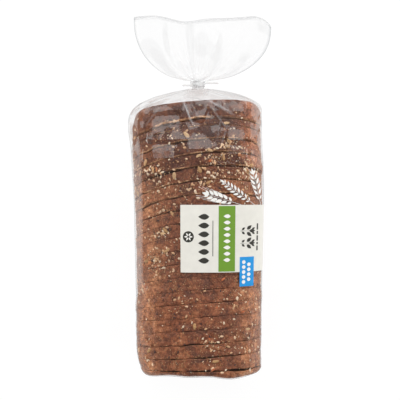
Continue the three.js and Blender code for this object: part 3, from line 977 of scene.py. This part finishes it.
def fan_point(aside, out, layer):
    """The fanned mouth: aside -1 to 1, out 0 at the neck to 1 at the mouth, layer 1 up or -1 down."""
    reach = np.where(aside < 0.0, FAN_LEFT, FAN_RIGHT)
    widen = (1.0 - (1.0 - out) ** FAN_ROUND_NEAR) ** (1.0 / FAN_ROUND_FAR)
    corner = np.clip((aside - CORNER_START) / (1.0 - CORNER_START), 0.0, 1.0)
    corner = mix(corner ** 2, 1.0 - np.sqrt(1.0 - corner ** 2), 0.6)
    edge = (FAN_LENGTH - FAN_SAG * np.exp(-(((aside - SAG_MIDDLE) / SAG_WIDTH) ** 2))
            - FAN_CORNER * corner)
    wander = aside + WANDER * np.sin(WANDER_TURNS * aside + 0.6)
    ruffle = (RUFFLE * out * np.sin(RUFFLE_TURNS * wander + 0.7)
              + FINE_RUFFLE * math.sin(math.pi * out) * np.sin(FINE_TURNS * wander + 1.9))
    fold = np.sqrt(np.maximum(1.0 - aside * aside, 0.0))
    edge_fold = np.sqrt(np.maximum(1.0 - np.abs(aside) ** FAN_EDGE_POWER, 0.0))
    apart = FAN_APART * mix(fold, edge_fold, smooth(0.0, 0.3, out)) * (0.25 + 0.75 * out)
    apart = apart * (1.0 + 0.5 * np.sin(8.0 * aside + 1.4 * layer))
    pleats = 0.0
    for count, depth in ((29.0, 0.7), (47.0, 0.3)):
        pleats = pleats + depth * (0.5 + 0.5 * np.sin(count * wander + layer * count))
    pleats = pleats * math.exp(-3.0 * out) * smooth(0.0, 0.12, out)
    pleats = pleats + BILLOW * out * np.sin(BILLOW_TURNS * out + 5.0 * wander + 1.1 * layer)
    lip = FAN_LIP * smooth(0.93, 1.0, out) ** 2
    neck = NECK_RADIUS * fold * (1.0 - smooth(0.0, 0.35, out))
    return np.stack([
        NECK_X + aside * mix(NECK_RADIUS * 0.9, reach, widen),
        NECK_Y + FAN_START + (edge + NECK_LENGTH * 0.3 - FAN_START) * out,
        NECK_HEIGHT - FAN_DROOP * out * out + ruffle + layer * (apart + pleats + neck) - lip,
    ], axis=-1)


CROWN_STEP = 0.7
SIDE_STEP = 2.6
FACET_STEP = 1.0
BODY_STEP = 2.4
FACET_START = 34.0
SHOULDER_RINGS = 44
NECK_RINGS = 4
FAN_RINGS = 56


def film_stops():
    """Distances round the section of the film's points: close on the crown, wider below it."""
    crown = around_at(WIDTH_AT_NECK * 0.492)
    half = np.concatenate([np.arange(0.0, crown, CROWN_STEP), np.arange(crown, HALF_ROUND, SIDE_STEP)])
    return np.concatenate([half, [HALF_ROUND], -half[:0:-1]])


def make_film():
    """One tube of film: front end, body, shoulder and neck, then the fan with a hem turned in."""
    around = film_stops()
    rings = film_front_rings(around)
    body_start = FRONT_END + END_ROUND + 1.4
    stations = np.concatenate([np.arange(body_start, FACET_START, BODY_STEP),
                               np.arange(FACET_START, SHOULDER_START, FACET_STEP)])
    rings.extend(film_point(around, station) for station in stations)
    for step in np.linspace(0.0, 1.0, SHOULDER_RINGS):
        rings.append(shoulder_ring(around, math.sin(step * math.pi / 2.0)))
    neck = rings[-1]
    for step in np.linspace(0.2, 1.0, NECK_RINGS):
        rings.append(neck + np.array([0.0, (NECK_LENGTH / 2.0 + FAN_START) * step, 0.0]))
    share = np.arange(len(around)) / len(around)
    upper = (share < 0.25) | (share >= 0.75)
    aside = np.where(share < 0.25, 4.0 * share,
                     np.where(share >= 0.75, 4.0 * (share - 1.0), 1.0 - 4.0 * (share - 0.25)))
    layer = np.where(upper, 1.0, -1.0)
    fan_start = len(rings)
    for step in np.linspace(0.0, 1.0, FAN_RINGS)[1:]:
        out = step ** 1.25
        ring = fan_point(aside, out, layer)
        rings.append(mix(rings[-1], ring, smooth(0.0, 0.12, out)))
    for back in (0.3, 0.65, 1.0):
        ring = fan_point(aside, 1.0 - HEM_DEPTH * back, layer)
        ring[:, 2] -= HEM_GAP * layer
        rings.append(ring)
    points = np.concatenate(rings)
    faces = grid_faces(len(rings), len(around), True)
    film = add_piece("bag_film", points, faces, [FILM])
    # Painted highlight along the creases and in streaks over the fan, with milk where the film gathers at
    # the neck.
    white = np.maximum(crease_highlight(points), neck_milk_and_painted_streaks(points))
    # Painted shade: a grey line along the fan's folded edges and its rim, and a faint share of it over
    # the whole fan.
    folded = np.zeros((len(rings), len(around)))
    folded[fan_start:] = mix(FAN_GREY, 1.0, smooth(0.96, 0.985, np.abs(aside)))
    folded[fan_start + FAN_RINGS - 2] = RIM_GREY
    paint_points(film, "creased", np.stack([white, folded.ravel(), np.zeros(len(points))], axis=1))
    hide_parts("bag")


# Print


def film_patch(name, reach_around, reach_along, steps_x, steps_y, lift, material):
    """A rectangle of print that follows the film, between two distances round it and along Y."""
    around, along = np.meshgrid(np.linspace(*reach_around, steps_x),
                                np.linspace(*reach_along, steps_y))
    points = print_points(around.ravel(), along.ravel(), lift)
    return add_piece(name, points, grid_faces(steps_y, steps_x, False), [material])


def print_points(around, along, lift):
    x, z = section_point(around)
    station = station_at(x, along, z)
    return film_point(around, station, lift)


PRINT_RINGS = (0.35, 0.7, 1.0)


def print_shapes(name, outlines, lift, material):
    """Flat printed shapes that follow the film: rings from each outline's middle out to it."""
    places = []
    faces = []
    for outline in outlines:
        edge = np.array(outline)
        middle = edge.mean(axis=0)
        count = len(edge)
        base = len(places)
        places.append(middle)
        for share in PRINT_RINGS:
            places.extend(middle + (edge - middle) * share)
        for i in range(count):
            beside = (i + 1) % count
            faces.append((base, base + 1 + i, base + 1 + beside))
            for ring in range(len(PRINT_RINGS) - 1):
                inner = base + 1 + ring * count
                outer = inner + count
                faces.append((inner + i, outer + i, outer + beside, inner + beside))
    places = np.array(places)
    around = np.array([around_at(x) for x in places[:, 0]])
    points = print_points(around, places[:, 1], lift)
    return add_piece(name, points, faces, [material])


def bar(left, right, front, back, corner):
    """A rectangle with rounded corners and a point halfway along each side."""
    corners = ((right - corner, back - corner, 0.0), (left + corner, back - corner, 90.0),
               (left + corner, front + corner, 180.0), (right - corner, front + corner, 270.0))
    outline = []
    for x, y, start in corners:
        for step in range(4):
            turn = math.radians(start + 30.0 * step)
            outline.append((x + corner * math.cos(turn), y + corner * math.sin(turn)))
    return outline


LEAF_STEPS = 7


def heading(start, end):
    """The distance from start to end, and the unit directions along and across."""
    way = np.subtract(end, start)
    length = np.linalg.norm(way)
    along = way / length
    return length, along, np.array([-along[1], along[0]])


def leaf(root, tip, width):
    """A pointed leaf from root to tip."""
    way = np.subtract(tip, root)
    across = heading(root, tip)[2]
    outline = []
    for side in (1.0, -1.0):
        for i in range(LEAF_STEPS):
            share = i / LEAF_STEPS if side > 0.0 else 1.0 - i / LEAF_STEPS
            bulge = math.sin(math.pi * share ** 0.85) * width / 2.0
            outline.append(tuple(root + way * share + across * bulge * side))
    return outline


def disc(middle, radius, steps=32):
    """A round spot."""
    turns = [2.0 * math.pi * i / steps for i in range(steps)]
    return [(middle[0] + radius * math.cos(a), middle[1] + radius * math.sin(a)) for a in turns]


def line(start, end, width):
    across = heading(start, end)[2] * width / 2.0
    return [tuple(start + across), tuple(start - across), tuple(end - across), tuple(end + across)]


def wheat_ear(root, tip, pairs, kernel, spread, fat, awns=0.0, bare=0.16, aside=0.12):
    """An ear: a stem with kernels leaning out by spread degrees, one at the tip, and thin awns."""
    spread = math.radians(spread)
    length, along, across = heading(root, tip)
    shapes = [line(root, root + along * length * 0.9, 0.4)]
    for pair in range(pairs):
        share = pair / (pairs - 1)
        foot = root + along * length * (bare + (0.88 - bare) * share)
        grain = kernel * (0.48 + 0.54 * math.sin(math.pi * (0.1 + 0.8 * share)))
        for side in (1.0, -1.0):
            reach = along * math.cos(spread) + across * side * math.sin(spread)
            base = foot + across * side * grain * aside
            shapes.append(leaf(base, base + reach * grain, grain * fat))
            if awns > 0.0:
                bristle = base + reach * grain * 0.9
                shapes.append(line(bristle, bristle + (reach + 2.0 * along) * awns * 0.33, 0.25))
    shapes.append(leaf(tip - along * kernel * 0.7, tip + along * kernel * 0.3, kernel * fat))
    return shapes


def make_print():
    """The label's fields, each in place of its solids, and the shapes printed on them."""
    panel_around = (around_at(LABEL_LEFT), around_at_height(LABEL_SIDE_HEIGHT))
    panel = film_patch("label_panel", panel_around, (LABEL_FRONT, LABEL_BACK),
                       80, 48, PANEL_LIFT, CREAM)
    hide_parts("label_left")
    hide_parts("label_right")
    band = film_patch("label_green_band", (around_at(BAND_LEFT), around_at(BAND_RIGHT)),
                      (LABEL_FRONT + 0.8, LABEL_BACK - 1.0), 14, 48, BAND_LIFT, GREEN)
    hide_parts("label_band")
    badge = film_patch("label_blue_badge", (around_at(BADGE_LEFT), around_at(BADGE_RIGHT)),
                       (BADGE_FRONT, BADGE_BACK), 14, 24, BADGE_LIFT, BLUE)
    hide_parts("label_badge")
    make_dark_shapes()
    make_white_shapes()
    make_ears()


def make_dark_shapes():
    """A column of grains, a disc, two small sprigs and a line of short bars."""
    shapes = [bar(12.9, 13.5, -52.0, -19.0, 0.1)]
    for y in np.linspace(-56.0, -15.5, 6):
        shapes.append(leaf((9.8, y), (-0.8, y), 5.4))
    shapes.append(disc((-10.0, -34.0), 5.2))
    for y in (-40.3, -28.8):
        shapes.extend(wheat_ear((39.8, y), (52.4, y), 3, 5.8, 40.0, 0.55, bare=0.1, aside=0.22))
    front = -47.5
    for length in (4.5, 2.2, 5.0, 3.0, 6.0):
        shapes.append(bar(55.6, 57.0, front, front + length, 0.2))
        front += length + 1.2
    print_shapes("label_dark_shapes", shapes, DARK_LIFT, DARK)


def make_white_shapes():
    """A column of small grains on the green band, dots on the badge, petals in the dark disc."""
    shapes = []
    for y in np.linspace(-55.5, -15.0, 8):
        shapes.append(leaf((30.0, y), (23.2, y), 3.6))
    print_shapes("label_white_grains", shapes, GRAINS_LIFT, WHITE)
    badge_shapes = []
    for x, first, count in ((43.2, 4.2, 5), (48.4, 6.5, 4)):
        for i in range(count):
            badge_shapes.append(disc((x, BADGE_FRONT + first + 4.6 * i), 1.75, 16))
    print_shapes("badge_white_dots", badge_shapes, DOTS_LIFT, WHITE)
    petals = [leaf((-10.0 + 0.8 * math.cos(a), -34.0 + 0.8 * math.sin(a)),
                   (-10.0 + 4.0 * math.cos(a), -34.0 + 4.0 * math.sin(a)), 1.5)
              for a in np.linspace(0.0, 2.0 * math.pi, 6, endpoint=False)]
    print_shapes("label_disc_petals", petals, GRAINS_LIFT, WHITE)


def make_ears():
    """Three white wheat ears on the clear film above the label."""
    shapes = wheat_ear((40.0, -4.4), (5.0, 6.2), 6, 7.2, 30.0, 0.44, 8.0, 0.26, 0.16)
    shapes += wheat_ear((53.0, -4.4), (21.0, 18.0), 8, 5.4, 38.0, 0.38)
    shapes += wheat_ear((59.5, -4.4), (50.5, 28.0), 6, 6.8, 30.0, 0.34, 3.0)
    print_shapes("film_wheat_ears", shapes, EARS_LIFT, WHITE)


# Seeds


def seed_shape(rows, columns, pointed):
    """A unit seed: an egg flattened by its scale; pointed narrows its far end."""
    tilt, turn = np.meshgrid(math.pi * np.arange(rows + 1) / rows,
                             2.0 * math.pi * np.arange(columns) / columns, indexing="ij")
    along = -np.cos(tilt) / 2.0
    radius = np.sin(tilt) / 2.0 * (1.0 - pointed * (along + 0.5))
    points = np.stack([along, radius * np.cos(turn), radius * np.sin(turn)], axis=-1)
    return points.reshape(-1, 3), grid_faces(rows + 1, columns, True)


def crust_place(around, station):
    """A place on the crust and the crown's normal there."""
    index = int(np.clip(np.searchsorted(CUTS, station) - 1, 0, len(STANDS) - 1))
    around = np.array([around])
    x, z = bread_ring(around, station, STANDS[index])
    point = place(x, station, z)
    push_out(point, around, crust_relief(point))
    normal_x, normal_z = section_normal(around)
    return point[0], np.array([normal_x[0], 0.0, normal_z[0]])


# Where seeds lie thick on the crust: sideways place, station, how far they spread
CLUSTERS = (
    (34.0, 50.0, 8.0), (20.0, 38.0, 6.0), (-42.0, 17.0, 10.0), (-14.0, 14.0, 8.0),
    (14.0, 22.0, 9.0), (-38.0, 33.0, 9.0), (44.0, 28.0, 8.0), (-34.0, -8.0, 9.0),
    (-40.0, -64.0, 9.0), (-20.0, -78.0, 12.0), (-40.0, -24.0, 7.0), (-30.0, -44.0, 8.0),
    (-46.0, -48.0, 6.0), (40.0, -92.0, 12.0), (6.0, -142.0, 14.0), (34.0, -128.0, 12.0),
    (-22.0, -146.0, 9.0), (-30.0, 64.0, 12.0),
)
CLUSTERED_SHARE = 0.42


def seed_place(random, reach):
    """A place round the section and along the loaf: in a cluster, or anywhere on the crown."""
    if random.uniform() < CLUSTERED_SHARE:
        x, station, spread = CLUSTERS[random.integers(len(CLUSTERS))]
        return around_at(x) + random.normal() * spread, station + random.normal() * spread * 0.6
    return random.uniform(-reach, reach), random.uniform(FRONT_END + 6.0, NECK_END - 5.0)


def near_cut(station, margin):
    return min(abs(station - cut) for cut in CUTS) < margin


def seed_density(around, station):
    """Share of tries that keep a seed: thicker towards the neck, on the right and in clusters."""
    clump = noise.noise(Vector((around / 22.0, station / 22.0, 3.0)))
    near_neck = float(smooth(-40.0, 40.0, station))
    on_right = float(smooth(0.0, 50.0, around))
    under_gloss = 1.0 - 0.6 * float(smooth(48.0, 62.0, station))
    density = np.clip(0.16 + 0.3 * near_neck + 0.25 * on_right + 1.1 * clump, 0.02, 1.0)
    return float(density) * under_gloss


def scatter(name, count, seed, size, colours, flat, sink, form, rough, everywhere=False):
    """One kind of seed or flake, strewn over the crust as a joined mesh with a colour for each.

    Size is its least and greatest length, flat its width and thickness as shares of the length,
    sink how much of its thickness lies in the crust, and form the rows, columns and point of
    seed_shape. A kind that lies everywhere takes no heed of seed_density.
    """
    random = np.random.default_rng(seed)
    base, base_faces = seed_shape(*form)
    reach = around_at(WIDTH_AT_FRONT * 0.499) + 14.0
    points, faces, tones = [], [], []
    placed = 0
    while placed < count:
        around, station = seed_place(random, reach)
        length = random.uniform(*size)
        keep = random.uniform() < (1.0 if everywhere else seed_density(around, station))
        spin = random.uniform(0.0, 2.0 * math.pi)
        tone = np.array(colours[random.integers(len(colours))]) * random.uniform(0.82, 1.12)
        squash = random.uniform(0.85, 1.15)
        inside = FRONT_END + 5.0 < station < NECK_END - 4.0 and abs(around) < reach
        if not keep or not inside or near_cut(station, length * 0.3):
            continue
        point, normal = crust_place(around, station)
        across = np.array([0.0, 1.0, 0.0])
        aside = np.cross(across, normal)
        first = aside * math.cos(spin) + across * math.sin(spin)
        second = np.cross(normal, first)
        width, thick = length * flat[0] * squash, length * flat[1]
        local = base * np.array([length, width, thick])
        rise = thick * (0.5 - sink)
        shaped = point + normal * rise + local @ np.stack([first, second, normal])
        faces.extend(base_faces + len(points))
        points.extend(shaped)
        tones.extend([tone] * len(base))
        placed += 1
    piece = add_piece(name, points, faces, [seed_material(name, rough)])
    paint_points(piece, "tone", np.clip(np.array(tones), 0.0, 1.0))


CREAM_SEEDS = ((0.88, 0.60, 0.38), (0.93, 0.74, 0.54), (0.74, 0.44, 0.24))
TAN_SEEDS = ((0.86, 0.62, 0.40), (0.72, 0.45, 0.24), (0.92, 0.76, 0.56))
KHAKI_SEEDS = ((0.62, 0.36, 0.17), (0.70, 0.45, 0.24), (0.50, 0.28, 0.12))
RED_FLAKES = ((0.56, 0.15, 0.05), (0.64, 0.24, 0.09))
DARK_SEEDS = ((0.06, 0.03, 0.03), (0.10, 0.05, 0.035))
BRAN = ((0.46, 0.23, 0.10), (0.56, 0.33, 0.17), (0.34, 0.16, 0.07))


def make_seeds():
    scatter("oat_flakes", 430, 31, (1.8, 3.6), CREAM_SEEDS, (0.68, 0.32), 0.30, (5, 7, 0.1), 0.6)
    scatter("sesame", 620, 32, (0.9, 1.8), TAN_SEEDS, (0.65, 0.45), 0.30, (4, 6, 0.3), 0.5)
    scatter("pumpkin_seeds", 34, 33, (5.0, 7.4), KHAKI_SEEDS, (0.56, 0.26), 0.32, (8, 12, 0.35), 0.45)
    scatter("red_flakes", 18, 34, (3.0, 5.4), RED_FLAKES, (0.55, 0.25), 0.30, (6, 8, 0.2), 0.5)
    scatter("dark_seeds", 260, 35, (1.6, 3.0), DARK_SEEDS, (0.5, 0.35), 0.35, (5, 6, 0.3), 0.4, True)
    scatter("bran_bits", 3600, 36, (0.6, 1.5), BRAN, (0.75, 0.55), 0.35, (3, 5, 0.1), 0.7, True)


# Tie


def add_strip(points, faces, rows):
    """Join rows of four points each into a strip with open ends; returns its first point's number."""
    base = len(points)
    points.extend(point for row in rows for point in row)
    faces.extend(grid_faces(len(rows), 4, True) + base)
    return base


def neck_point(radius, turn, along):
    """A point round the neck, turned from the right side up."""
    return NECK_X + radius * math.cos(turn), NECK_Y + along, NECK_HEIGHT + radius * math.sin(turn)


def band_section(inner, outer):
    """The band's section with rounded corners, as pairs of place along Y and radius."""
    section = []
    for along, radius in ((-0.5, inner), (0.5, inner), (0.5, outer), (-0.5, outer)):
        inwards = -0.5 if radius > inner else 0.5
        for turn in np.linspace(0.0, 1.0, 4):
            shift = BAND_CORNER * (1.0 - math.sin(turn * math.pi / 2.0))
            section.append((along * (TIE_WIDTH - shift), radius + shift * inwards))
    return section


def tail_rows(side, length, start):
    """Rows of points along one tail, which bows a little up and aside and narrows at its tip."""
    rows = []
    for i in range(TAIL_ROWS + 1):
        share = i / TAIL_ROWS
        taper = 1.0 if i < TAIL_ROWS else 0.7
        x = NECK_X + side * (start + length * share)
        y = NECK_Y + side * (1.0 + 0.5 * share * (1.0 - share))
        z = NECK_HEIGHT + 0.9 * math.sin(share * math.pi) - 0.6 * share
        wide, high = TAIL_THICKNESS / 2.0 * taper, TAIL_HEIGHT / 2.0 * taper
        rows.append([(x, y + aside * wide, z + up * high)
                     for aside, up in ((-1, -1), (1, -1), (1, 1), (-1, 1))])
    return rows


def make_tie():
    """A band with rounded edges round the neck, two dark lines of painted shade near its edges, and two
    tails on edge.
    """
    inner = NECK_RADIUS * 1.07 + TIE_GAP
    outer = inner + TIE_THICKNESS
    section = band_section(inner, outer)
    points = [neck_point(radius, 2.0 * math.pi * i / BAND_STEPS, along)
              for i in range(BAND_STEPS) for along, radius in section]
    faces = list(grid_faces(BAND_STEPS + 1, len(section), True) % len(points))
    for side, length in ((-1.0, TAIL_LEFT), (1.0, TAIL_RIGHT)):
        rows = tail_rows(side, length, outer - TIE_THICKNESS / 2.0)
        base = add_strip(points, faces, rows)
        end = base + TAIL_ROWS * 4
        faces.append((end, end + 1, end + 2, end + 3))
        faces.append((base + 3, base + 2, base + 1, base))
    plain_faces = len(faces)
    # Painted shade: two thin dark strips on top of the band, near its edges, standing in for the shade
    # along them.
    for along in (-1.7, 1.7):
        rows = []
        for degrees in np.linspace(90.0, 124.0, LINE_ROWS):
            turn = math.radians(degrees)
            rows.append([neck_point(outer + up, turn, along + aside)
                         for aside, up in ((-0.3, 0.0), (0.3, 0.0), (0.3, 0.35), (-0.3, 0.35))])
        base = add_strip(points, faces, rows)
        end = base + (LINE_ROWS - 1) * 4
        faces.append((base, base + 1, base + 2, base + 3))
        faces.append((end + 3, end + 2, end + 1, end))
    in_shade = (np.arange(len(faces)) >= plain_faces).astype(int)
    looks = [tie_material(), print_material("tie_edge_shade", (0.42, 0.42, 0.42))]
    piece = add_piece("neck_tie", points, faces, looks, in_shade, flat=True)
    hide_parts("tie")


# Studio


def make_floor():
    mesh = bpy.data.meshes.new("floor")
    corners = [(x * FLOOR_REACH, y * FLOOR_REACH, 0.0) for x, y in ((-1, -1), (1, -1), (1, 1), (-1, 1))]
    mesh.from_pydata(corners, [], [(0, 1, 2, 3)])
    mesh.materials.append(floor_material())
    floor = add_object("floor", mesh)
    floor.location = (0.0, 0.0, FLOOR_HEIGHT)


def add_area_light(name, location, target, size, radiance, in_reflections):
    data = bpy.data.lights.new(name, "AREA")
    data.shape = "RECTANGLE"
    data.size, data.size_y = size
    data.energy = radiance * math.pi * size[0] * size[1]
    light = add_object(name, data)
    light.location = location
    direction = Vector(target) - Vector(location)
    light.rotation_euler = direction.to_track_quat("-Z", "Y").to_euler()
    light.visible_glossy = in_reflections


def make_studio():
    """A wide soft panel beyond the neck, which the film mirrors, and a soft fill from above."""
    world = bpy.data.worlds.new("studio")
    world.use_nodes = True
    background = world.node_tree.nodes["Background"]
    background.inputs["Color"].default_value = (1.0, 1.0, 1.0, 1.0)
    background.inputs["Strength"].default_value = WORLD_LIGHT
    bpy.context.scene.world = world
    add_area_light("panel", (0.0, 0.82, 0.85), (0.0, 0.05, 0.1), (4.0, 1.45), PANEL_LIGHT, True)
    add_area_light("fill", (0.0, -0.25, 1.25), (0.0, 0.0, 0.1), (1.0, 1.0), FILL_LIGHT, False)
    for side in (-1.0, 1.0):
        add_area_light("side", (side * 0.95, -0.2, 0.55), (0.0, 0.0, 0.06), (1.2, 0.6), SIDE_LIGHT, False)
    bpy.context.scene.view_settings.view_transform = "Standard"


def make_camera():
    data = bpy.data.cameras.new("camera")
    data.sensor_width = SENSOR_WIDTH
    data.lens = SENSOR_WIDTH * CAMERA_ABOVE / PICTURE_WIDTH
    camera = add_object("camera", data)
    camera.location = tuple((SHIFT + np.array([0.0, 0.0, REFERENCE_HEIGHT + CAMERA_ABOVE])) * MM)
    bpy.context.scene.camera = camera


make_camera()
make_floor()
make_studio()
make_slices()
make_seeds()
make_film()
make_print()
make_tie()
